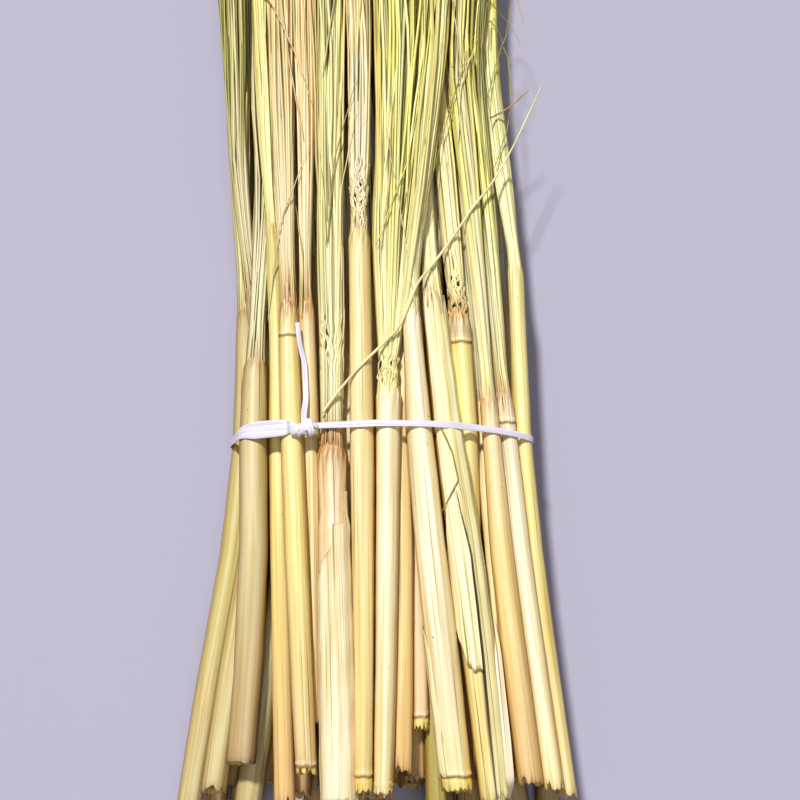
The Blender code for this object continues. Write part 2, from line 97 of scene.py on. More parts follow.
# Seen stalks: stem colour at the cut, middle and top, brush colours, number of fibres,
# curls (sideways mm, distance above the knuckle, spread), brown comb at the knuckle (0 to 1),
# node rings (mm above the tie)
SEEN = {
    "stalk_06": (ORANGE, YELLOW, PALE_GREEN, (BLOND, YELLOW_GREEN), 100, (0.3, 8, 8), 0.3, ()),
    "stalk_09": (TAN, YELLOW, STRAW, (STRAW, BLOND, ORANGE), 90, (0.9, 7, 5), 1.0, (39.5, -131.0)),
    "stalk_12": (ORANGE, STRAW, PINK, (BLOND, STRAW, ORANGE), 80, (0.9, 6, 5), 1.0, ()),
    "stalk_16": (CREAM, PALE_PINK, PALE_PINK, (PALE_GREEN, PALE_GREEN, STRAW), 100, (1.6, 46, 9), 1.2, ()),
    "stalk_21": (BLOND, STRAW, STRAW, (PINK, BLOND, STRAW), 95, (2.2, 18, 12), 0.5, (-134.5,)),
    "stalk_25": (STRAW, CREAM, CREAM, (YELLOW_GREEN, PALE_GREEN, YELLOW), 160, (2.7, 10, 6), 0.1, (-141.0,)),
    "stalk_28": (ORANGE, BLOND, STRAW, (STRAW, PALE_GREEN), 80, (0.4, 8, 8), 0.2, ()),
    "stalk_32": (PINK, PINK, TAN, (STRAW, OLIVE), 70, (0.4, 8, 8), 0.4, (-112.0,)),
    "stalk_33": (STRAW, CREAM, CREAM, (YELLOW_GREEN, PALE_GREEN, YELLOW), 85, (0.5, 8, 8), 0.0, (-134.5,)),
    "stalk_34": (OLIVE, BLOND, OLIVE, (OLIVE, STRAW), 70, (0.4, 8, 8), 0.4, ()),
    "stalk_37": (YELLOW, STRAW, PINK, (PALE_GREEN, STRAW, YELLOW_GREEN), 75, (0.9, 9, 7), 0.3, ()),
    "stalk_40": (YELLOW, YELLOW, YELLOW, (STRAW, YELLOW_GREEN, BLOND), 75, (2.6, 10, 8), 0.9, (38.0,)),
    "stalk_42": (STRAW, STRAW, STRAW, (GREY_GREEN, OLIVE, STRAW), 62, (0.5, 8, 8), 0.4, ()),
    "stalk_43": (ORANGE, BLOND, PALE_PINK, (GREY_GREEN, YELLOW_GREEN, STRAW), 68, (0.7, 7, 5), 0.5, ()),
    "stalk_45": (TAN, ORANGE, STRAW, (OLIVE, STRAW), 80, (0.4, 8, 8), 0.4, (-129.5,)),
    "stalk_47": (STRAW, CREAM, CREAM, (YELLOW_GREEN, PALE_GREEN, OLIVE), 70, (0.7, 7, 5), 0.8, (4.4,)),
    "stalk_49": (STRAW, YELLOW, LEAF_PALE, (YELLOW_GREEN, PALE_GREEN), 80, (0.4, 8, 8), 0.1, ()),
}
LEANING = {"stalk_37": 0.004, "stalk_40": 0.006, "stalk_42": 0.006, "stalk_43": 0.006, "stalk_47": 0.005}
CRACKED = "stalk_37"
COLLARED = "stalk_40"
CURLED = ("stalk_16", "stalk_21", "stalk_25", "stalk_40")
FANNED = "stalk_25"
OTHERS = (
    (STRAW, YELLOW, STRAW, (STRAW, YELLOW_GREEN, OLIVE), 80, (0.4, 8, 8), 0.5, ()),
    (ORANGE, STRAW, TAN, (STRAW, ORANGE, PINK), 80, (0.4, 8, 8), 0.5, ()),
    (TAN, STRAW, STRAW, (PALE_GREEN, STRAW), 80, (0.4, 8, 8), 0.5, ()),
)


def world(x, y):
    """Millimetres from the tie and the middle to the model's frame, still in millimetres."""
    return x + MIDDLE_X, y + TIE_Y


class Outline:
    """How far a stalk's solid reaches: its middle line, and its size in each direction."""

    def __init__(self, node):
        mesh = frame["nodes"][node].data
        points = np.empty(len(mesh.vertices) * 3, np.float32)
        mesh.vertices.foreach_get("co", points)
        points = points.reshape(-1, 3).astype(float) / MM
        corners = np.empty(len(mesh.loops), np.int32)
        mesh.loops.foreach_get("vertex_index", corners)
        faces = points[corners].reshape(-1, 3, 3)
        places = np.unique(np.round(points[:, 1], 2))
        self.butt = places[0]
        self.tip = places[-1]
        self.knuckle = 4.0 + next(
            low for low, high in zip(places, places[1:]) if abs(high - low - 13.0) < 0.03
        )
        self.ys = np.linspace(self.butt + 0.31, self.tip - 0.53, 90)
        cuts = [self.cut(faces, y) for y in self.ys]
        self.x = np.array([middle[0] for middle, _ in cuts])
        self.z = np.array([middle[1] for middle, _ in cuts])
        self.sizes = np.array([sizes for _, sizes in cuts])
        self.round = np.percentile(self.sizes, 90, axis=1)

    @staticmethod
    def cut(faces, y):
        """The middle of the section at y, and its size in each direction from there."""
        side = faces[:, :, 1] - y
        crossing = (side.min(axis=1) < 0.0) & (side.max(axis=1) > 0.0)
        chosen = faces[crossing]
        side = side[crossing]
        ends = []
        for a, b in ((0, 1), (1, 2), (2, 0)):
            crosses = side[:, a] * side[:, b] < 0.0
            share = side[:, a] / np.where(crosses, side[:, a] - side[:, b], 1.0)
            point = chosen[:, a] + (chosen[:, b] - chosen[:, a]) * share[:, None]
            ends.append(np.where(crosses[:, None], point, np.nan))
        ends = np.stack(ends, axis=1)
        order = np.argsort(np.isnan(ends[:, :, 0]), axis=1, kind="stable")[:, :2]
        ends = np.take_along_axis(ends, order[:, :, None], axis=1)[:, :, [0, 2]]
        flat = ends.reshape(-1, 2)
        middle = (flat.min(axis=0) + flat.max(axis=0)) / 2.0
        start = ends[:, 0] - middle
        edge = ends[:, 1] - ends[:, 0]
        turns = np.arange(DIRECTIONS) * 2.0 * math.pi / DIRECTIONS
        dx = np.cos(turns)[:, None]
        dz = np.sin(turns)[:, None]
        across = dx * edge[:, 1] - dz * edge[:, 0]
        across = np.where(np.abs(across) < 1e-9, 1e-9, across)
        far = (start[:, 0] * edge[:, 1] - start[:, 1] * edge[:, 0]) / across
        share = (start[:, 0] * dz - start[:, 1] * dx) / across
        hit = (far > 0.0) & (share > -1e-4) & (share < 1.0001)
        return middle, np.where(hit, far, 0.05).max(axis=1)

    def middle(self, y):
        return np.interp(y, self.ys, self.x), np.interp(y, self.ys, self.z)

    def size(self, y, angle):
        """Distance from the middle line to the solid's surface."""
        at = np.clip((y - self.ys[0]) / (self.ys[1] - self.ys[0]), 0.0, len(self.ys) - 1.001)
        turn = np.mod(angle, 2.0 * math.pi) / (2.0 * math.pi) * DIRECTIONS
        row = at.astype(int)
        column = turn.astype(int) % DIRECTIONS
        after = (column + 1) % DIRECTIONS
        u = at - row
        v = turn - np.floor(turn)
        low = self.sizes[row, column] * (1 - v) + self.sizes[row, after] * v
        high = self.sizes[row + 1, column] * (1 - v) + self.sizes[row + 1, after] * v
        return low * (1 - u) + high * u

    def stem(self, y, angle):
        """The same, rounded as a stem is."""
        return np.minimum(np.interp(y, self.ys, self.round), self.size(y, angle) * 1.085)


outlines = {name: Outline(name) for name in sorted(frame["nodes"]) if name != "tie"}


RELIEF_X = np.arange(-84.0, 84.5, 0.5)
RELIEF_Y = np.arange(-314.0, 314.5, 2.0)


def relief(left_out=()):
    """Height of the highest stalk over a grid of places, seen from above."""
    heights = np.zeros((len(RELIEF_Y), len(RELIEF_X)))
    turns = np.linspace(math.pi, 0.0, 25)
    for name, outline in outlines.items():
        if name in left_out:
            continue
        rows = np.nonzero((RELIEF_Y > outline.butt) & (RELIEF_Y < outline.tip - 2.0))[0]
        for row in rows:
            y = np.full(25, RELIEF_Y[row])
            x, z = outline.middle(y)
            size = outline.stem(y, turns)
            top = np.interp(RELIEF_X, x + size * np.cos(turns), z + size * np.sin(turns), 0.0, 0.0)
            heights[row] = np.maximum(heights[row], top)
    return heights


def height_at(heights, x, y):
    """Height at places (mm), from a grid of heights."""
    column = np.clip((np.asarray(x) - RELIEF_X[0]) / 0.5, 0.0, len(RELIEF_X) - 1.001)
    row = np.clip((np.asarray(y) - RELIEF_Y[0]) / 2.0, 0.0, len(RELIEF_Y) - 1.001)
    i, j = row.astype(int), column.astype(int)
    u, v = row - i, column - j
    low = heights[i, j] * (1 - v) + heights[i, j + 1] * v
    high = heights[i + 1, j] * (1 - v) + heights[i + 1, j + 1] * v
    return low * (1 - u) + high * u


ALL_HEIGHTS = relief()
HEIGHTS_BESIDE_FAN = relief((FANNED,))


def height_over(x, y, reach=0.0):
    """Height of the highest stalk within reach of a place."""
    return float(max(height_at(ALL_HEIGHTS, x + off, y) for off in (-reach, 0.0, reach)))


def tube(sides, steps):
    """A straight closed tube of unit radius, with a ring at each whole height."""
    bm = bmesh.new()
    bmesh.ops.create_circle(bm, segments=sides, radius=1.0)
    ring = list(bm.edges)
    for step in range(1, steps + 1):
        made = bmesh.ops.extrude_edge_only(bm, edges=ring)["geom"]
        corners = {part for part in made if isinstance(part, bmesh.types.BMVert)}
        ring = [
            part
            for part in made
            if isinstance(part, bmesh.types.BMEdge) and set(part.verts) <= corners
        ]
        for corner in corners:
            corner.co.z = step
    bmesh.ops.holes_fill(bm, edges=bm.edges, sides=sides)
    bmesh.ops.recalc_face_normals(bm, faces=bm.faces)
    mesh = bpy.data.meshes.new("tube")
    bm.to_mesh(mesh)
    bm.free()
    return mesh


def copies(mesh, number):
    """One mesh with that many copies of another, from an array."""
    pattern = bpy.data.objects.new("pattern", mesh)
    bpy.context.scene.collection.objects.link(pattern)
    array = pattern.modifiers.new("row", "ARRAY")
    array.count = number
    array.use_relative_offset = False
    array.use_constant_offset = True
    array.constant_offset_displace = (0.0, 0.0, 0.0)
    bpy.context.view_layer.update()
    seen = pattern.evaluated_get(bpy.context.evaluated_depsgraph_get())
    made = bpy.data.meshes.new_from_object(seen)
    bpy.data.objects.remove(pattern, do_unlink=True)
    return made


def rings_of(mesh):
    """For each corner of a tube: its ring, and its place on the unit circle."""
    points = np.empty(len(mesh.vertices) * 3, np.float32)
    mesh.vertices.foreach_get("co", points)
    points = points.reshape(-1, 3)
    return np.round(points[:, 2]).astype(int), points[:, 0].astype(float), points[:, 1].astype(float)


def shape(mesh, points, tint, grain, slits=0.0):
    """Places a mesh's corners (mm), and gives them their colour and straightened place."""
    mesh.vertices.foreach_set("co", (points * MM).astype(np.float32).ravel())
    colour = mesh.color_attributes.new(name="tint", type="FLOAT_COLOR", domain="POINT")
    full = np.concatenate([np.clip(tint, 0.0, 1.0), np.full((len(tint), 1), 0.0)], axis=1)
    full[:, 3] = slits
    colour.data.foreach_set("color", full.astype(np.float32).ravel())
    lengthwise = mesh.attributes.new(name="grain", type="FLOAT_VECTOR", domain="POINT")
    lengthwise.data.foreach_set("vector", (grain * MM).astype(np.float32).ravel())
    mesh.shade_smooth()
    mesh.update()


def add(name, mesh, material, slot, *nodes):
    """A finished piece of the bunch."""
    piece = bpy.data.objects.new(name, mesh)
    bpy.context.scene.collection.objects.link(piece)
    mesh.materials.clear()
    mesh.materials.append(material)
    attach(piece, "root")
    if nodes:
        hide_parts(*nodes)
    return piece


# Materials


def new_material(name, roughness, specular):
    material = bpy.data.materials.new(name)
    material.use_nodes = True
    shader = material.node_tree.nodes["Principled BSDF"]
    shader.inputs["Roughness"].default_value = roughness
    shader.inputs["Specular IOR Level"].default_value = specular
    return material, material.node_tree, shader


def grain_noise(tree, across, along, detail):
    """Noise drawn out along the fibres of a piece."""
    place = tree.nodes.new("ShaderNodeAttribute")
    place.attribute_name = "grain"
    stretch = tree.nodes.new("ShaderNodeMapping")
    stretch.inputs["Scale"].default_value = (across, along, across)
    noise = tree.nodes.new("ShaderNodeTexNoise")
    noise.inputs["Scale"].default_value = 1.0
    noise.inputs["Detail"].default_value = detail
    tree.links.new(place.outputs["Vector"], stretch.inputs["Vector"])
    tree.links.new(stretch.outputs["Vector"], noise.inputs["Vector"])
    return noise.outputs["Fac"]


def ramp(tree, value, stops):
    made = tree.nodes.new("ShaderNodeValToRGB")
    while len(made.color_ramp.elements) < len(stops):
        made.color_ramp.elements.new(0.5)
    for element, (place, colour) in zip(made.color_ramp.elements, stops):
        element.position = place
        element.color = (*colour, 1.0)
    tree.links.new(value, made.inputs["Fac"])
    return made.outputs["Color"]


def multiply(tree, first, second):
    mix = tree.nodes.new("ShaderNodeMix")
    mix.data_type = "RGBA"
    mix.blend_type = "MULTIPLY"
    mix.inputs["Factor"].default_value = 1.0
    tree.links.new(first, mix.inputs["A"])
    tree.links.new(second, mix.inputs["B"])
    return mix.outputs["Result"]


def tint_of(tree):
    made = tree.nodes.new("ShaderNodeAttribute")
    made.attribute_name = "tint"
    return made.outputs["Color"]


def bumped(tree, shader, value, strength, distance):
    bump = tree.nodes.new("ShaderNodeBump")
    bump.inputs["Strength"].default_value = strength
    bump.inputs["Distance"].default_value = distance
    tree.links.new(value, bump.inputs["Height"])
    tree.links.new(bump.outputs["Normal"], shader.inputs["Normal"])


def alpha_of(tree):
    made = tree.nodes.new("ShaderNodeAttribute")
    made.attribute_name = "tint"
    return made.outputs["Alpha"]


def darkened(tree, colour, dark, where, amount):
    """Mixes a dark colour in where a value is high, as far as a second value allows."""
    share = tree.nodes.new("ShaderNodeMath")
    share.operation = "MULTIPLY"
    tree.links.new(where, share.inputs[0])
    tree.links.new(amount, share.inputs[1])
    mix = tree.nodes.new("ShaderNodeMix")
    mix.data_type = "RGBA"
    tree.links.new(share.outputs[0], mix.inputs["Factor"])
    tree.links.new(colour, mix.inputs["A"])
    mix.inputs["B"].default_value = (*dark, 1.0)
    return mix.outputs["Result"]


FULL = (1.0, 1.0, 1.0)


def dry_stem():
    material, tree, shader = new_material("dry_stem", 0.42, 0.4)
    wide = grain_noise(tree, 260.0, 10.0, 3.0)
    streaks = grain_noise(tree, 1000.0, 14.0, 6.0)
    lines = grain_noise(tree, 1700.0, 8.0, 3.0)
    specks = grain_noise(tree, 700.0, 420.0, 2.0)
    slits = grain_noise(tree, 1300.0, 75.0, 2.0)
    colour = multiply(tree, tint_of(tree), ramp(tree, wide, ((0.3, (0.93, 0.84, 0.66)), (0.6, FULL))))
    colour = multiply(tree, colour, ramp(tree, streaks, ((0.35, (0.87, 0.79, 0.60)), (0.55, FULL))))
    colour = multiply(tree, colour, ramp(tree, lines, ((0.29, (0.36, 0.28, 0.16)), (0.36, FULL))))
    colour = multiply(tree, colour, ramp(tree, specks, ((0.215, (0.25, 0.15, 0.08)), (0.245, FULL))))
    dark = ramp(tree, slits, ((0.36, FULL), (0.44, (0.0, 0.0, 0.0))))
    colour = darkened(tree, colour, linear(92, 52, 22), dark, alpha_of(tree))
    tree.links.new(colour, shader.inputs["Base Color"])
    bumped(tree, shader, streaks, 0.5, 0.0003)
    return material


def brush_fibre():
    material, tree, shader = new_material("brush_fibre", 0.45, 0.35)
    streaks = grain_noise(tree, 1800.0, 26.0, 3.0)
    colour = multiply(tree, tint_of(tree), ramp(tree, streaks, ((0.3, (0.84, 0.8, 0.66)), (0.5, FULL))))
    tree.links.new(colour, shader.inputs["Base Color"])
    bumped(tree, shader, streaks, 0.3, 0.0002)
    return material


def leaf_sheath():
    material, tree, shader = new_material("leaf_sheath", 0.5, 0.3)
    veins = grain_noise(tree, 1300.0, 9.0, 4.0)
    fine = grain_noise(tree, 2600.0, 16.0, 2.0)
    wide = grain_noise(tree, 300.0, 12.0, 3.0)
    colour = multiply(tree, tint_of(tree), ramp(tree, wide, ((0.3, (0.86, 0.80, 0.62)), (0.6, FULL))))
    colour = multiply(tree, colour, ramp(tree, veins, ((0.33, (0.44, 0.46, 0.26)), (0.42, FULL))))
    colour = multiply(tree, colour, ramp(tree, fine, ((0.34, (0.78, 0.70, 0.52)), (0.5, FULL))))
    tree.links.new(colour, shader.inputs["Base Color"])
    bumped(tree, shader, veins, 0.6, 0.0003)
    return material


def plastic_string():
    material, tree, shader = new_material("plastic_string", 0.3, 0.5)
    folds = grain_noise(tree, 1400.0, 25.0, 2.0)
    colour = multiply(tree, tint_of(tree), ramp(tree, folds, ((0.3, (0.74, 0.72, 0.80)), (0.52, FULL))))
    tree.links.new(colour, shader.inputs["Base Color"])
    bumped(tree, shader, folds, 0.7, 0.0004)
    return material


STEM = dry_stem()
FIBRE = brush_fibre()
SHEATH = leaf_sheath()
STRING = plastic_string()


def blend(first, second, share):
    return first + (second - first) * np.clip(share, 0.0, 1.0)[..., None]


def unevenness(angle, y, seed):
    """Slow change over a stem's turn and length, from about -1 to 1."""
    dice = np.random.RandomState(seed + 900)
    total = 0.0
    for _ in range(5):
        waves, pace, phase = dice.randint(1, 4), dice.uniform(0.01, 0.07), dice.uniform(0, 6.28)
        total = total + np.sin(angle * waves + y * pace + phase) * dice.uniform(0.3, 1.0)
    return total / 2.5


def crack(y):
    """Turn of the long crack in the slanting stalk's sheath, in degrees."""
    return np.interp(y, (-118.0, -97.0, -74.0, -54.0, -35.0, -5.0), (84.0, 80.0, 76.0, 74.0, 90.0, 102.0))


def crack_width(y):
    return np.interp(y, (-140.0, -118.0, -97.0, -60.0, -40.0, -28.0, -26.0), (2.0, 4.5, 5.5, 4.5, 3.0, 1.5, -3.0))


def stem_places(outline, rings, number):
    """The y of every ring of a stem, closer together at its ends and at its node rings."""
    butt, top = outline.butt, outline.knuckle
    extra = [butt + off for off in (0.0, 0.6, 1.3, 2.1, 3.0, 4.0)]
    extra += [top - off for off in (-7.0, -5.0, -3.5, -2.0, -1.0, 0.0, 1.0, 2.0, 3.0, 4.0, 5.0, 6.5, 8.5)]
    for ring in rings:
        extra += [ring + TIE_Y + off for off in (-3.0, -2.0, -1.4, -0.9, -0.4, 0.0, 0.5, 1.1, 2.0)]
    even = np.linspace(butt, top, number - len(extra) + 2)[1:-1]
    return np.sort(np.concatenate([even, extra]))


def stem(outline, look, seed, pattern, steps, shade):
    """The cut stem with its node rings, ragged cut end and ridged knuckle."""
    dice = np.random.RandomState(seed)
    at_cut, at_middle, at_top, _, _, _, comb, rings = look
    mesh = pattern.copy()
    ring, cx, cy = rings_of(mesh)
    angle = np.arctan2(-cy, cx)
    caps = len(CUT_PROFILE)
    places = stem_places(outline, rings, steps + 1 - caps)
    profile = np.array([share for share, _ in CUT_PROFILE] + [1.0] * len(places))[ring]
    inset = np.array([depth for _, depth in CUT_PROFILE] + [0.0] * len(places))[ring]
    y = np.concatenate([[outline.butt] * caps, places])[ring]
    outside = (ring >= caps).astype(float)
    butt, top = outline.butt, outline.knuckle

    turns = np.linspace(-math.pi, math.pi, 41)
    tears = dice.uniform(0.0, 1.0, 41) ** 2.0 * dice.uniform(1.8, 4.6)
    tears[-1] = tears[0]
    from_cut = y - butt
    y = y + np.interp(angle, turns, tears) * np.clip(1.0 - from_cut / 7.0, 0.0, 1.0) + inset
    size = outline.stem(y, angle) * profile
    near_top = np.exp(-np.abs(y - top + 1.5) / 4.5)
    ridges = np.sin(angle * 12.0 + 1.6 * np.sin(angle * 3.0 + seed) + 0.25 * (y - top))
    size = size * np.interp(y, (top - 2.0, top + 1.0, top + 6.0), (1.0, 0.93, 0.55))
    size = size * (1.0 + near_top * (0.045 * ridges + 0.02) * outside)
    size = size * (1.0 + 0.018 * np.cos(2.0 * angle + dice.uniform(0, 6)) * outside)
    size = size * (1.0 + 0.01 * np.sin(y * 0.11 + dice.uniform(0, 6)) + 0.006 * np.sin(y * 0.37))
    size = size * (1.0 + 0.012 * np.sin(angle * 5.0 + dice.uniform(0, 6)) * outside)
    around = 0.35 * np.cos(angle * 2.0) + 0.2 * np.sin(angle * 5.0)
    for place in rings:
        off = y - place - TIE_Y - around
        size = size * (1.0 + 0.05 * np.exp(-((off / 0.9) ** 2)))
        size = size * (1.0 - 0.035 * np.exp(-(((off + 1.5) / 0.7) ** 2)))
    x, z = outline.middle(y)
    points = np.stack([x + size * np.cos(angle), y, z + size * np.sin(angle)], axis=1)
    points[:, 2] = np.maximum(points[:, 2], ROOM_FOR_FLOOR)

    share = (y - butt) / (top - butt)
    tint = blend(at_cut[None, :], at_middle[None, :], share * 2.2)
    tint = blend(tint, at_top[None, :], (share - 0.55) * 2.0)
    tint = blend(tint, linear(218, 178, 128)[None, :], np.exp(-np.abs(top - y) / 4.5) * 0.7 * comb)
    tint = blend(tint, BROWN[None, :], near_top * np.clip(-ridges - 0.3, 0.0, 1.0) * comb)
    tint = blend(tint, BROWN[None, :], np.exp(-from_cut / 2.0) * 0.45 * outside)
    for place in rings:
        off = y - place - TIE_Y - around
        if place + TIE_Y - butt < 15.0:
            tint = blend(tint, END_PIECE[None, :], np.clip(-off - 0.5, 0.0, 1.0) * 0.7 * outside)
        tint = blend(tint, BROWN[None, :], 0.9 * np.exp(-(((off + 1.0) / 0.5) ** 2)))
        tint = blend(tint, CREAM[None, :], 0.35 * np.exp(-(((off - 0.4) / 0.7) ** 2)))
    # Painted shade: shade is below 1 for the hidden stalks, darkening them as if lying deep in the bunch.
    tint = tint * (1.0 + 0.06 * unevenness(angle, y, seed))[:, None] * shade
    # Painted shade: the flanks and underside of the stem are darkened, as if lit from above and shaded in the gaps
    # between stalks.
    tint = blend(tint, tint * PAINTED_FLANK_SHADE[None, :], np.clip(1.15 - 1.25 * np.sin(angle), 0.0, 1.0) * 0.85)
    tint = blend(tint, tint * PAINTED_GAP_SHADE[None, :], np.clip(0.5 - np.sin(angle), 0.0, 0.5) * 2.0)
    if outline is outlines[COLLARED]:
        worn = np.clip(1.0 - np.abs(y - TIE_Y - 42.5) / 5.0, 0.0, 1.0) ** 0.5
        tint = blend(tint, linear(218, 200, 178)[None, :] * (1.0 + 0.12 * np.sin(y * 3.1))[:, None], worn * 0.85)
    # Painted shade: along the crack between the two sheath pieces the stem is darkened to near black, where shade
    # falls into the gap.
    if outline is outlines[CRACKED]:
        beside = (np.degrees(angle) - crack(y - TIE_Y)) / np.maximum(crack_width(y - TIE_Y) + 3.0, 0.5)
        tint = blend(tint, linear(62, 44, 22)[None, :], np.exp(-(beside**4)) * (y - TIE_Y < -27.0))
    tint = blend(tint, linear(226, 196, 128)[None, :], (1.0 - outside) * 0.8)
    tint = blend(tint, BROWN[None, :] * 0.6, (1.0 - outside) * np.clip(1.0 - profile * 1.6, 0.0, 1.0) * 0.7)
    slits = np.clip(np.exp(-np.abs(top - y) / 4.5) * 1.2, 0.0, 1.0) * outside * comb
    slits = np.maximum(slits, np.exp(-from_cut / 3.0) * 0.7 * outside)
    grain = np.stack([np.cos(angle) * 4.5 + seed * 17.0, y, np.sin(angle) * 4.5], axis=1)
    shape(mesh, points, tint, grain, slits)
    return mesh


def spread_places(length, steps, curled):
    """Distances along a fibre, closer together near the knuckle and most where it curls."""
    if not curled:
        return np.linspace(0.0, 1.0, steps + 1)[None, :] ** 1.5 * length[:, None]
    _, middle, spread = curled
    near = middle + 2.0 * spread
    lead = max(middle - 2.0 * spread, 0.0)
    first = np.linspace(0.0, lead, 4)[:-1] if lead > 6.0 else np.array([0.0])
    if lead <= 6.0:
        lead = 0.0
    close = int(steps * 0.68)
    dense = np.linspace(lead, near, close)
    dense = dense[1:] if len(first) == 1 else dense
    short = np.concatenate([first, dense])
    rest = np.linspace(0.0, 1.0, steps + 2 - len(short))[1:] ** 1.3
    far = near + rest[None, :] * (length[:, None] - near)
    return np.concatenate([short[None, :].repeat(len(length), axis=0), far], axis=1)


def brush(name, outline, look, seed, pattern, steps, seen):
    """The fibres of a brush: each keeps its own place in the section as the brush widens."""
    dice = np.random.RandomState(seed + 500)
    palette, number, (swing_size, swing_at, swing_spread) = look[3:6]
    curled = look[5] if name in CURLED else None
    twigs = number // 3 if seen and not curled else 0
    total = number + twigs
    mesh = copies(pattern, total)
    ring, cx, cy = rings_of(pattern)

    order = np.arange(number)
    outer = order < number * 0.52
    share = np.where(outer, dice.uniform(0.86, 1.0, number), np.sqrt(dice.uniform(0.0, 0.7, number)))
    around = (order + dice.uniform(-0.9, 0.9, number)) / (number * 0.52) * 2.0 * math.pi
    around = np.where(outer, around, dice.uniform(0, 2.0 * math.pi, number))
    parent = np.concatenate([order, dice.randint(0, int(number * 0.52), twigs)])
    share, around = share[parent], around[parent]
    is_twig = np.arange(total) >= number
    length = outline.tip - outline.knuckle
    begin = np.where(share > 0.84, -5.5, -1.0) + dice.uniform(-1.8, 1.8, total)
    begin = np.where(is_twig, length * dice.uniform(0.4, 0.8, total), begin)
    end = length * (1.0 - 0.3 * dice.uniform(0, 1, total) ** 1.6) - 1.0
    twig_end = np.minimum(begin + length * dice.uniform(0.12, 0.3, total), length - 1.0)
    end = np.where(is_twig, twig_end, end)
    out = begin[:, None] + spread_places(end - begin, steps, curled)
    y = np.minimum(outline.knuckle + out, outline.tip - 0.5)

    twist = dice.uniform(-0.35, 0.35, number)[parent][:, None]
    pace = dice.uniform(120.0, 330.0, number)[parent][:, None]
    phase = dice.uniform(0, 6.28, number)[parent][:, None]
    freed = np.clip(out / 90.0, 0.0, 1.0)
    angle = around[:, None] + twist * freed * np.sin(out / pace * 6.28 + phase)
    angle = angle + LEANING.get(name, 0.0) * np.clip(out, 0.0, 260.0)
    sway = 1.0 + np.sin(out / (pace * 0.6) * 6.28 + phase * 2.0)
    depth = share[:, None] * (1.0 - 0.05 * freed * sway)
    thick = dice.uniform(0.5, 0.82, total) * np.where(dice.uniform(0, 1, total) < 0.12, 1.3, 1.0)
    thick = np.where(is_twig, thick * 0.55, thick)[:, None]
    taper = np.interp(out / length, (0.0, 0.5, 0.8, 1.0), (1.0, 0.9, 0.6, 0.3))
    rooted = np.clip((out - begin[:, None]) / 5.0, 0.12, 1.0)
    tipped = np.clip((end[:, None] - out) / 25.0, 0.15, 1.0)
    slim = 1.0 - 0.36 * min(max(look[6], swing_size / 2.4), 1.0) * np.interp(out, (10.0, 32.0), (1.0, 0.0))
    radius = thick * taper * rooted * tipped * slim
    sunk = np.interp(out, (-8.0, 2.0, 14.0), (0.1, 0.4, 1.0)) * thick
    size = np.maximum(outline.size(y, angle) - sunk, 0.3)
    if seen:
        size = size * np.interp(out, (60.0, 200.0), (1.0, 1.05))
    middle_x, middle_z = outline.middle(y)
    x = middle_x + depth * size * np.cos(angle)
    z = middle_z + depth * size * np.sin(angle)

    shift = 2.6 * np.sin(around * 2.0 + seed) + 1.7 * np.sin(around * 5.0 + seed * 2.0)
    wave = 11.5 + 2.0 * np.sin(around * 3.0 + seed)[:, None] + dice.uniform(-0.5, 0.5, total)[:, None]
    centre = swing_at + 0.5 * swing_spread * np.sin(around * 3.0 + seed * 1.7)[:, None]
    where = np.exp(-(((out - centre) / swing_spread) ** 2))
    swing = np.sin(out / wave * 6.28 + shift[:, None] + dice.uniform(-0.45, 0.45, total)[:, None])
    swing = swing * where * swing_size * dice.uniform(0.25, 1.0, total)[:, None]
    swing = np.where(is_twig[:, None], 0.0, swing)
    x = x - swing * np.sin(angle)
    z = z + swing * np.cos(angle) - 0.5 * np.abs(swing) * np.sin(angle)
    loose = np.where(is_twig, dice.uniform(1.5, 7.0, total), dice.uniform(0, 1, total) ** 6 * 5.0)
    away = dice.uniform(0, 6.28, total)[:, None]
    gone = np.clip((out - np.where(is_twig, begin, 60.0)[:, None]) / 150.0, 0.0, 1.5) ** 1.3
    x = x + loose[:, None] * gone * np.cos(away)
    z = z + loose[:, None] * gone * np.sin(away) * 0.6
    x = x + 0.6 * freed * np.sin(out / 37.0 + phase * 3.0)
    if name == FANNED:
        sideward = np.clip(np.cos(around)[:, None], 0.0, 1.0) * (np.sin(around)[:, None] > 0.1)
        x = x + sideward * (share[:, None] > 0.84) * np.interp(out, (12.0, 40.0, 200.0, 400.0), (0, 3, 13, 18))
    near_tie = np.abs(y - TIE_Y) < 9.0
    under_tie = middle_z + outline.size(y, angle * 0 + math.pi / 2) - 0.6
    z = np.where(near_tie, np.minimum(z, under_tie), z)
    if name == FANNED:
        over = height_at(HEIGHTS_BESIDE_FAN, x, y) + 0.3 + 1.5 * (share[:, None] - 0.86)
        lies_over = (share[:, None] > 0.84) & (np.sin(around)[:, None] > 0.1) & (out > 12.0)
        rise = np.clip((out - 12.0) / 30.0, 0.0, 1.0)
        z = np.where(lies_over, z + np.maximum(over - z, 0.0) * rise, z)
    z = np.maximum(z, ROOM_FOR_FLOOR)

    path = np.stack([x, y, z], axis=2)
    ahead = np.gradient(path, axis=1)
    ahead /= np.linalg.norm(ahead, axis=2, keepdims=True)
    sideways = np.stack([-np.sin(angle), 0 * angle, np.cos(angle)], axis=2)
    sideways -= ahead * (sideways * ahead).sum(axis=2, keepdims=True)
    sideways /= np.linalg.norm(sideways, axis=2, keepdims=True)
    outwards = np.cross(ahead, sideways)
    points = path[:, ring] + sideways[:, ring] * (radius[:, ring] * cx * 1.12)[:, :, None]
    points = points + outwards[:, ring] * (radius[:, ring] * cy * 0.85)[:, :, None]

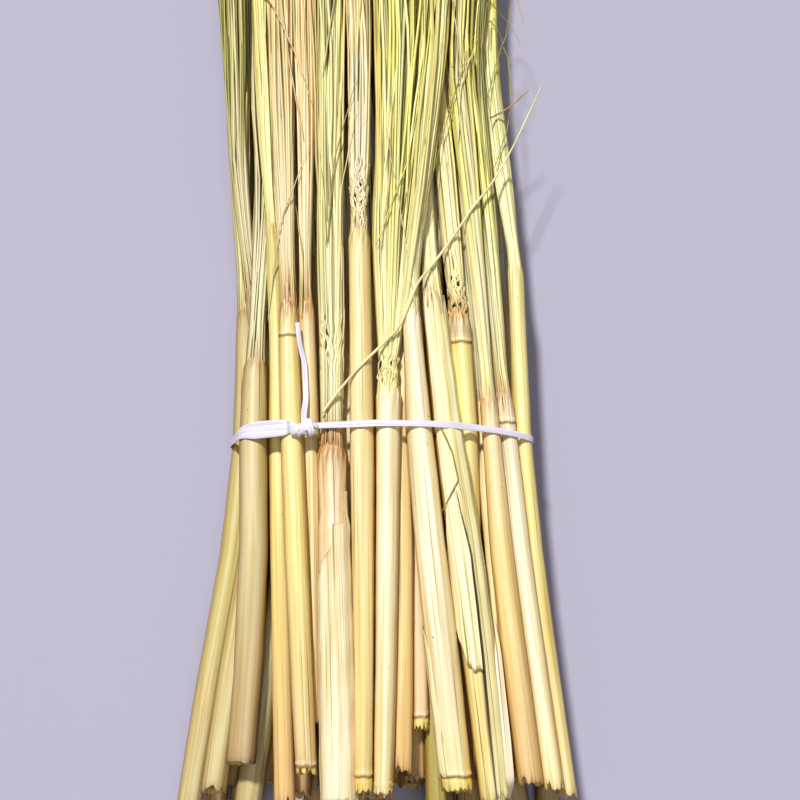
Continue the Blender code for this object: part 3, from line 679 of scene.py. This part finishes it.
    colours = np.array(palette)[dice.randint(0, len(palette), total)]
    colours = colours * (1.18 - 0.5 * dice.uniform(0.0, 1.0, total) ** 3.0)[:, None]
    # Painted shade: the brushes of the hidden stalks keep 0.75 of their colour, as if lying deep in the bunch.
    colours = colours * (1.0 if seen else 0.75)
    tint = colours[:, None, :].repeat(steps + 1, axis=1)
    tint = blend(tint, CREAM[None, None, :], np.exp(-(((out - 35.0) / 50.0) ** 2)) * 0.4)
    root = np.exp(-np.clip(out + 4.0 - 9.0 * look[6], 0.0, None) / 6.0)
    tint = blend(tint, linear(198, 158, 108)[None, None, :], root * (0.25 + 0.65 * look[6]))
    tint = blend(tint, ORANGE[None, None, :] * 0.9, np.clip(out / length - 0.6, 0.0, 1.0) * 0.9)
    # Painted shade: inner fibres are darkened to near black as shade deep in the brush, and darkened further where the
    # outer fibres curl apart, as shade seen through the gaps.
    painted_inner_shade = np.interp(share, (0.0, 0.7, 0.86, 0.92), (0.02, 0.09, 0.75, 1.0))[:, None]
    painted_curl_shade = 1.0 - 0.92 * np.clip(where * 1.5, 0.0, 1.0) * (share < 0.86)[:, None] * min(swing_size, 1.0)
    tint = tint * (painted_inner_shade * painted_curl_shade)[:, :, None]
    # Painted shade: fibres on the brush's sides and underside are darkened, as if lit from above.
    tint = blend(tint, tint * PAINTED_FIBRE_SHADE[None, None, :], np.clip(1.0 - 1.2 * np.sin(angle), 0.0, 1.0))
    far = np.arange(total)[:, None] * 3.1 + 0 * out
    grain = np.stack([far, out, 0 * out], axis=2)[:, ring] + np.stack([cx, 0 * cx, cy], axis=1) * 0.5
    shape(mesh, points.reshape(-1, 3), tint[:, ring].reshape(-1, 3), grain.reshape(-1, 3))
    return mesh


def joined(name, first, second):
    """One piece from a stem and its brush."""
    parts = []
    for mesh, material in ((first, STEM), (second, FIBRE)):
        part = bpy.data.objects.new(name, mesh)
        bpy.context.scene.collection.objects.link(part)
        mesh.materials.clear()
        mesh.materials.append(material)
        parts.append(part)
    chosen = {"selected_objects": parts, "selected_editable_objects": parts}
    with bpy.context.temp_override(active_object=parts[0], object=parts[0], **chosen):
        bpy.ops.object.join()
    return parts[0]


patterns = {size: tube(*size) for size in (SEEN_STEM, OTHER_STEM, CURLED_FIBRE, SEEN_FIBRE, OTHER_FIBRE)}

for number, (name, outline) in enumerate(outlines.items()):
    seen = name in SEEN
    look = SEEN[name] if seen else OTHERS[number % len(OTHERS)]
    trunk = SEEN_STEM if seen else OTHER_STEM
    hair = CURLED_FIBRE if name in CURLED else SEEN_FIBRE if seen else OTHER_FIBRE
    # Hidden stalks get 0.72 of their stem colour: painted shade for lying deep in the bunch.
    body = stem(outline, look, number, patterns[trunk], trunk[1], 1.0 if seen else 0.72)
    fibres = brush(name, outline, look, number, patterns[hair], hair[1], seen)
    stalk = joined(name + "_grown", body, fibres)
    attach(stalk, "root")
    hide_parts(name)


# Leaf sheaths


def torn(seed, size, knots=26):
    """A torn edge: how far it stands back at each share of the way across."""
    dice = np.random.RandomState(seed)
    places = np.sort(np.concatenate([[0.0, 1.0], dice.uniform(0, 1, knots)]))
    depths = dice.uniform(0, 1, len(places)) ** 2 * size
    return lambda u: np.interp(u, places, depths)


def sheath(name, node, turn_from, turn_to, low, high, lift, tint, seed, columns=90, rows=60):
    """A leaf sheath wrapped round a stem, between two turns (degrees) and two torn edges.
    The turns are functions of the height above the tie and the edges of the share across."""
    outline = outlines[node]
    bm = bmesh.new()
    bmesh.ops.create_grid(bm, x_segments=columns, y_segments=rows, size=0.5)
    mesh = bpy.data.meshes.new(name)
    bm.to_mesh(mesh)
    bm.free()
    flat = np.empty(len(mesh.vertices) * 3, np.float32)
    mesh.vertices.foreach_get("co", flat)
    u, v = flat.reshape(-1, 3)[:, 0] + 0.5, flat.reshape(-1, 3)[:, 1] + 0.5
    low_y, high_y = low(u), high(u)
    y = low_y + (high_y - low_y) * v
    start, stop = turn_from(y), turn_to(y)
    turn = np.radians(stop + (start - stop) * u)
    row_y = y + TIE_Y
    edge = np.minimum(np.minimum(u, 1.0 - u) * 8.0, 1.0)
    size = outline.stem(row_y, turn) + lift(u, y)
    size = size + 0.12 * np.sin(turn * 9.0 + seed) * edge + 0.1 * np.sin(y * 0.3 + turn * 3.0)
    x, z = outline.middle(row_y)
    points = np.stack([x + size * np.cos(turn), row_y, z + size * np.sin(turn)], axis=1)
    points[:, 2] = np.maximum(points[:, 2], ROOM_FOR_FLOOR)
    grain = np.stack([np.cos(turn) * 6.0 + seed * 13.0, y, np.sin(turn) * 6.0], axis=1)
    colour = np.ones((len(u), 3)) * tint[None, :]
    near_edge = np.exp(-np.abs(high_y - y) / 1.2) + np.exp(-np.abs(y - low_y) / 1.2)
    colour = blend(colour, linear(255, 250, 236)[None, :], np.exp(-np.minimum(u, 1 - u) * 30.0) * 0.6)
    colour = blend(colour, BROWN[None, :], near_edge * 0.25)
    shape(mesh, points, colour, grain)
    piece = add(name, mesh, SHEATH, "dry_straw")
    wall = piece.modifiers.new("wall", "SOLIDIFY")
    wall.thickness = 0.4 * MM
    wall.offset = -1.0
    return piece


WHITE_LEAF = linear(246, 234, 204)
c_top = torn(3, 2.2)
sheath(
    "wide_stalk_sheath",
    "stalk_16",
    lambda y: 14.0 + 0 * y,
    lambda y: 186.0 + 0 * y,
    lambda u: -145.5 + torn(4, 3.0)(u) + 0 * u,
    lambda u: np.interp(
        u, (0.0, 0.27, 0.29, 0.5, 0.535, 0.55, 0.82, 0.84, 0.87, 1.0),
        (-61.0, -59.0, -55.5, -51.0, -49.0, -41.2, -40.6, -38.0, -27.3, -27.0),
    ) - c_top(u) * 0.4,
    lambda u, y: 0.55 + 0.5 * np.exp(-np.abs(y + 41.0) / 6.0),
    WHITE_LEAF,
    5,
)


h_edge = torn(11, 2.0)
h_top = torn(21, 16.0, 30)
sheath(
    "slanting_stalk_sheath_left",
    "stalk_37",
    lambda y: crack(y) + crack_width(y),
    lambda y: 192.0 + np.clip((-68.0 - y) * 1.6, -52.0, 0.0),
    lambda u: np.interp(u, (0.0, 0.3, 0.6, 1.0), (-74.0, -82.0, -95.0, -97.0)) - h_edge(u),
    lambda u: 62.0 - h_top(u),
    lambda u, y: 0.75 + 0.9 * np.clip((-70.0 - y) / 28.0, 0.0, 1.0) + 0.3 * (u > 0.93),
    linear(250, 243, 206),
    7,
    60,
    90,
)
sheath(
    "slanting_stalk_sheath_right",
    "stalk_37",
    lambda y: -10.0 + 0 * y,
    lambda y: crack(y) - crack_width(y),
    lambda u: -143.5 + torn(12, 2.6)(u),
    lambda u: 60.0 - h_top(1.0 - u),
    lambda u, y: 0.7 + 0.25 * (u < 0.05),
    linear(246, 238, 190),
    8,
    60,
    90,
)
sheath(
    "large_stalk_sheath",
    "stalk_33",
    lambda y: 118.0 + np.interp(y, (-139.0, -80.0), (0.0, 30.0)),
    lambda y: 196.0 + 0 * y,
    lambda u: -136.0 + torn(31, 3.0)(u),
    lambda u: -80.0 - 6.0 * u + torn(32, 5.0)(u),
    lambda u, y: 0.5 + 0.4 * np.exp(-np.abs(y + 80.0) / 6.0),
    linear(248, 240, 196),
    9,
    30,
    60,
)


# String


def turn_of(a, b, c):
    return (b[0] - a[0]) * (c[1] - a[1]) - (b[1] - a[1]) * (c[0] - a[0])


def tight_line(y):
    """The closed line that a tight string takes round the stalks."""
    points = []
    turns = np.arange(48) * 2.0 * math.pi / 48
    for outline in outlines.values():
        x, z = outline.middle(y)
        size = outline.stem(np.full(48, y), turns)
        points += list(zip(x + size * np.cos(turns), z + size * np.sin(turns)))
    points = sorted((float(a), float(b)) for a, b in points)
    line = []
    for run in (points, points[::-1]):
        part = []
        for p in run:
            while len(part) > 1 and turn_of(part[-2], part[-1], p) <= 0.0:
                part.pop()
            part.append(p)
        line += part[:-1]
    return np.array(line)


def along_path(path, number):
    """Evenly spaced points along a path."""
    steps = np.linalg.norm(np.diff(path, axis=0), axis=1)
    gone = np.concatenate([[0.0], np.cumsum(steps)])
    at = np.linspace(0.0, gone[-1], number)
    return np.stack([np.interp(at, gone, path[:, k]) for k in range(path.shape[1])], axis=1), at


def eased(path, times):
    path = path.copy()
    for _ in range(times):
        path[1:-1] = 0.25 * path[:-2] + 0.5 * path[1:-1] + 0.25 * path[2:]
    return path


def ribbon(name, path, widths, thick, up, tint, seed, sides=16, pleat=0.25):
    """A flat string along a path (mm), creased lengthwise. up gives its flat side's direction."""
    steps = len(path) - 1
    mesh = tube(sides, steps)
    ring, cx, cy = rings_of(mesh)
    ahead = np.gradient(path, axis=0)
    ahead /= np.linalg.norm(ahead, axis=1, keepdims=True)
    side = np.cross(up, ahead)
    side /= np.linalg.norm(side, axis=1, keepdims=True)
    up = np.cross(ahead, side)
    angle = np.arctan2(cy, cx)
    crease = 1.0 + pleat * np.cos(3.0 * angle + 0.6 * np.sin(ring * 0.13 + seed))
    half_width = np.asarray(widths)[ring] / 2.0
    across = np.sign(cx) * np.abs(cx) ** 0.8 * half_width
    lift = cy * crease * np.asarray(thick)[ring] / 2.0
    points = path[ring] + side[ring] * across[:, None] + up[ring] * lift[:, None]
    gone = np.concatenate([[0.0], np.cumsum(np.linalg.norm(np.diff(path, axis=0), axis=1))])
    grain = np.stack([across + seed * 7.0, gone[ring], lift], axis=1)
    shape(mesh, points, np.ones((len(points), 3)) * tint[None, :], grain)
    return mesh


def string_piece(name, *form):
    """A length of the tie's flat string."""
    return add(name, ribbon(name, *form), STRING, "white_string", "tie")


WHITE = linear(226, 222, 235)
loop = tight_line(TIE_Y)
knot_x, knot_y = world(-29.2, -2.4)
middle = loop.mean(axis=0)
start = int(np.argmin(np.abs(loop[:, 0] - knot_x) + (loop[:, 1] < 30.0) * 1000.0))
loop = np.concatenate([loop[start:], loop[: start + 1]])
around, _ = along_path(loop, 190)
around = np.concatenate([around[-6:-1], around, around[1:6]])
around = eased(around, 2)[5:-5]
out = around - middle
normal = np.stack([np.gradient(around[:, 1]), -np.gradient(around[:, 0])], axis=1)
normal /= np.linalg.norm(normal, axis=1, keepdims=True)
normal *= np.sign((normal * out).sum(axis=1, keepdims=True))
wide = np.where(around[:, 1] > 26.0, np.interp(around[:, 0], world(-60.0, 0)[0] + np.array([0.0, 10.0, 22.0, 27.0]), (3.4, 7.4, 7.0, 2.8)), 2.8)
lift = 0.75 + 0.12 * np.sin(np.arange(190) * 0.35)
line = around + normal * lift[:, None]
on_top = np.clip((line[:, 1] - 25.0) / 12.0, 0.0, 1.0)
dip = np.interp(line[:, 0] - MIDDLE_X, (-58.0, -30.0, -18.0, 0.0, 30.0, 62.0), (-1.6, -1.6, -1.1, -0.5, -0.8, -2.2))
path = np.stack([line[:, 0], TIE_Y + dip * on_top + 0.12 * np.sin(np.arange(190) * 0.11), line[:, 1]], axis=1)
up = np.stack([normal[:, 0], 0 * normal[:, 0], normal[:, 1]], axis=1)
string_width = wide + 0.15 * np.sin(np.arange(190) * 0.23)
string_piece("tie_string", path, string_width, np.where(wide > 3.2, 0.7, 0.85), up, WHITE, 1)

string_top = path[on_top > 0.5]
string_top = string_top[np.argsort(string_top[:, 0])]


def on_string(x):
    """Height of the string's top face where it crosses the bunch."""
    return float(np.interp(x, string_top[:, 0], string_top[:, 2])) + 0.5


tail_at = np.array(((-29.6, -2.0), (-30.4, 4.1), (-29.8, 10.9), (-30.6, 26.1), (-32.8, 35.0), (-33.9, 43.5)))
tail, _ = along_path(tail_at, 40)
tail = eased(tail, 4)
tail_path = []
for x, y in tail:
    wx, wy = world(x, y)
    tail_path.append((wx, wy, height_over(wx, wy, 1.5) + 0.8))
tail_path = np.array(tail_path)
tail_path[:3, 2] = on_string(knot_x) + 0.6
low = tail_path[:, 2].copy()
for _ in range(60):
    tail_path[:, 2] = np.maximum(eased(tail_path[:, 2:3], 1)[:, 0], low)
lean = np.stack([0.3 * np.sin(np.arange(40) * 0.25), 0 * np.arange(40.0), np.ones(40)], axis=1)
# Painted light: the tail is the same string tinted brighter, as if lit more strongly.
string_piece("tie_tail", tail_path, np.linspace(2.6, 1.9, 40), np.full(40, 0.8), lean, WHITE * 1.12, 2, 12)


def knot():
    """The knot: a lump of twisted folds, with turns of string over and beside it."""
    bm = bmesh.new()
    bmesh.ops.create_uvsphere(bm, u_segments=48, v_segments=28, radius=1.0)
    mesh = bpy.data.meshes.new("tie_knot")
    bm.to_mesh(mesh)
    bm.free()
    flat = np.empty(len(mesh.vertices) * 3, np.float32)
    mesh.vertices.foreach_get("co", flat)
    ball = flat.reshape(-1, 3).astype(float)
    turn = np.arctan2(ball[:, 1], ball[:, 0])
    folds = 1.0 + 0.10 * np.sin(turn * 4.0 + ball[:, 0] * 5.0 + ball[:, 2] * 3.0)
    folds += 0.07 * np.sin(ball[:, 0] * 9.0 - ball[:, 1] * 6.0)
    base = on_string(knot_x) + 0.3
    points = ball * np.array((4.3, 2.9, 1.9)) * folds[:, None]
    points[:, 1] += points[:, 0] * 0.3
    points += np.array((knot_x - 0.6, knot_y - 0.2, base))
    grain = np.stack([points[:, 1], points[:, 0] * 0.6, points[:, 2]], axis=1)
    shape(mesh, points, np.ones((len(points), 3)) * WHITE[None, :], grain)
    add("tie_knot", mesh, STRING, "white_string", "tie")
    steps = 36
    turns = np.linspace(-0.4, math.pi + 0.4, steps)
    over = np.stack([-0.9 * np.cos(turns), 3.3 * np.cos(turns), 2.1 * np.sin(turns)], axis=1)
    middle_of_turn = np.array((knot_x + 1.6, knot_y + 0.3, base))
    # Painted light: this turn is the same string tinted brighter, as if lit more strongly.
    string_piece("tie_knot_turn", middle_of_turn + over, np.full(steps, 2.7), np.full(steps, 0.8), over, WHITE * 1.1, 3, 12)
    route = np.array(((-6.0, -1.9, -0.6), (-2.5, -2.0, 1.0), (0.5, -0.6, 2.0), (2.6, 1.0, 1.6), (4.6, 0.6, 0.2)))
    bent, _ = along_path(route, 30)
    bent = eased(bent, 4)
    facing = np.stack([0 * bent[:, 0], bent[:, 1] * 0.3, np.ones(30)], axis=1)
    string_piece("tie_knot_fold", bent + np.array((knot_x, knot_y, base)), np.full(30, 2.3), np.full(30, 0.8), facing, WHITE, 4, 12)


knot()


# Loose fibres


def strand(name, route, thick, lift, tint, waves=0.0, seed=0, number=70, settle=8, least=0.0):
    """One loose fibre that lies over the bunch, through places given from the tie (mm)."""
    dice = np.random.RandomState(seed)
    line, _ = along_path(np.array(route, float), number)
    line = eased(line, settle)
    if waves:
        phase = dice.uniform(0, 6)
        line[:, 0] += waves * np.sin(np.arange(number) * 0.5 + phase) * np.linspace(0.2, 1, number)
    path = []
    for x, y in line:
        wx, wy = world(x, y)
        path.append((wx, wy, max(height_over(wx, wy, 0.8) + lift, least)))
    path = np.array(path)
    raised = path[:, 2].copy()
    for _ in range(40):
        path[:, 2] = np.maximum(eased(path[:, 2:3], 1)[:, 0], raised)
    path[:, 2] = eased(path[:, 2:3], 6)[:, 0]
    steps = number - 1
    mesh = tube(6, steps)
    ring, cx, cy = rings_of(mesh)
    ahead = np.gradient(path, axis=0)
    ahead /= np.linalg.norm(ahead, axis=1, keepdims=True)
    side = np.cross(np.array((0.0, 0.0, 1.0)), ahead)
    side /= np.linalg.norm(side, axis=1, keepdims=True)
    up = np.cross(ahead, side)
    radius = thick * np.interp(np.arange(number), (0, 3, number * 0.7, number - 1), (0.5, 1.0, 0.9, 0.35))
    points = path[ring] + side[ring] * (cx * radius[ring])[:, None] + up[ring] * (cy * radius[ring])[:, None]
    shade = 1.0 + 0.12 * np.sin(np.arange(number) * 0.4)[ring]
    grain = np.stack([cx + seed * 5.0, ring * 2.0, cy], axis=1)
    shape(mesh, points, tint[None, :] * shade[:, None], grain)
    return add(name, mesh, FIBRE, "dry_straw")


strand("long_strand", ((-23.2, 3.7), (-14.1, 16.6), (-3.5, 28.5), (8.0, 40.4), (15.4, 60.8), (33.3, 88.3), (46.6, 108.4), (57.0, 128.0), (65.5, 147.5), (70.0, 158.0)), 0.62, 0.5, STRAW, 0.0, 1, 110, 8, 46.0)
strand("kinked_strand", ((24.3, -2.1), (28.6, -12.3), (30.8, -23.4), (30.4, -24.6), (24.0, -36.3)), 0.4, 1.0, linear(150, 140, 96), 0.0, 2, 60, 2)
strand("left_strand", ((-60.0, 217.0), (-49.8, 196.6), (-38.5, 171.0), (-29.4, 143.7)), 0.4, 0.7, TAN, 0.2, 3)
CURLS = (
    ((44.0, 176.0), (46.5, 196.0), (47.4, 204.0), (51.0, 205.0), (56.7, 200.5), (60.5, 195.0), (62.5, 187.2)),
    ((46.0, 150.0), (50.0, 170.0), (54.0, 185.0), (57.1, 196.0), (60.0, 214.0)),
    ((40.0, 200.0), (48.7, 216.0), (56.0, 222.0), (62.0, 214.0), (64.5, 200.0)),
    ((47.0, 185.0), (48.7, 197.9), (53.5, 192.0), (57.0, 180.0), (58.1, 166.3)),
    ((49.0, 120.0), (55.0, 140.0), (58.0, 158.0), (57.0, 176.0), (60.0, 190.0)),
)
for number, route in enumerate(CURLS):
    strand(f"curl_{number + 1}", route, 0.24, 0.7, OLIVE, 0.25, 4 + number, 60, 8, 34.0)
SCATTERED = 16
dice = np.random.RandomState(77)
for number in range(SCATTERED):
    x0, y0 = dice.uniform(-48.0, 40.0), dice.uniform(40.0, 175.0)
    lean_by = dice.uniform(-0.22, 0.3)
    reach = dice.uniform(45.0, 120.0)
    bow = dice.uniform(-4.0, 4.0)
    ends = ((x0, y0), (x0 + lean_by * reach * 0.5 + bow, y0 + reach * 0.5), (x0 + lean_by * reach, y0 + reach))
    tint = (STRAW, TAN, OLIVE, YELLOW_GREEN)[number % 4] * dice.uniform(0.7, 1.0)
    strand(f"stray_{number + 1:02d}", ends, dice.uniform(0.22, 0.4), 0.4, tint, 0.15, 40 + number, 44)


def peel():
    """The white strip of sheath that has peeled from the slanting stalk's right side."""
    route, _ = along_path(np.array(((43.2, -69.0), (44.4, -78.0), (45.8, -100.0), (47.4, -122.0), (48.6, -146.0))), 60)
    path = []
    for x, y in route:
        wx, wy = world(x, y)
        path.append((wx, wy, height_over(wx - 1.5, wy) + 0.9))
    path = np.array(path)
    path[:, 2] = eased(path[:, 2:3], 20)[:, 0]
    wide = np.interp(np.arange(60), (0, 12, 40, 59), (0.5, 2.6, 3.8, 4.4))
    facing = np.array([(0.25, 0.0, 1.0)] * 60)
    mesh = ribbon("peeled_strip", path, wide, np.full(60, 0.45), facing, linear(250, 236, 214), 11, 12, 0.1)
    return add("peeled_strip", mesh, SHEATH, "dry_straw")


peel()


strand("seed_twig", ((47.0, 143.5), (49.7, 146.1), (56.7, 151.7), (65.6, 160.4)), 0.4, 0.8, linear(190, 150, 110), 0.3, 9, 60, 4, 40.0)


# Setting

floor_mesh = bpy.data.meshes.new("floor")
bm = bmesh.new()
bmesh.ops.create_grid(bm, x_segments=1, y_segments=1, size=30.0)
bm.to_mesh(floor_mesh)
bm.free()
floor = bpy.data.objects.new("floor", floor_mesh)
bpy.context.scene.collection.objects.link(floor)
pale, tree, shader = new_material("pale_floor", 0.7, 0.3)
shader.inputs["Base Color"].default_value = (*linear(172, 169, 186), 1.0)
floor_mesh.materials.append(pale)


def sun(name, place, spread, power, colour):
    """Even light that comes from the direction of a place."""
    light = bpy.data.lights.new(name, "SUN")
    light.angle = math.radians(spread)
    light.energy = power
    light.color = colour
    lamp = bpy.data.objects.new(name, light)
    lamp.location = place
    lamp.rotation_euler = (-Vector(place)).to_track_quat("-Z", "Y").to_euler()
    bpy.context.scene.collection.objects.link(lamp)


sun("key", (-0.3, 0.6, 1.15), 6.0, 2.9, (1.0, 0.99, 0.97))
sun("fill", (0.1, -0.4, 1.3), 25.0, 0.6, (0.98, 0.98, 1.0))
sky = bpy.data.worlds.new("studio")
bpy.context.scene.world = sky
sky.use_nodes = True
sky.node_tree.nodes["Background"].inputs["Color"].default_value = (0.95, 0.96, 1.0, 1.0)
sky.node_tree.nodes["Background"].inputs["Strength"].default_value = 0.16
bpy.context.scene.view_settings.view_transform = "Standard"
bpy.context.scene.view_settings.look = "Medium High Contrast"

# Camera
DISTANCE = 0.55
ELEVATION = math.radians(70.0)
target = Vector((0.008 + MIDDLE_X * MM, TIE_Y * MM + 0.010, 0.050))
look = Vector((0.0, math.cos(ELEVATION), -math.sin(ELEVATION)))
lens = bpy.data.cameras.new("camera")
lens.sensor_width = 36.0
lens.lens = 36.0 / (2.0 * (0.16 / DISTANCE))
camera = bpy.data.objects.new("camera", lens)
camera.location = target - look * DISTANCE
camera.rotation_euler = look.to_track_quat("-Z", "Y").to_euler()
bpy.context.scene.collection.objects.link(camera)
bpy.context.scene.camera = camera
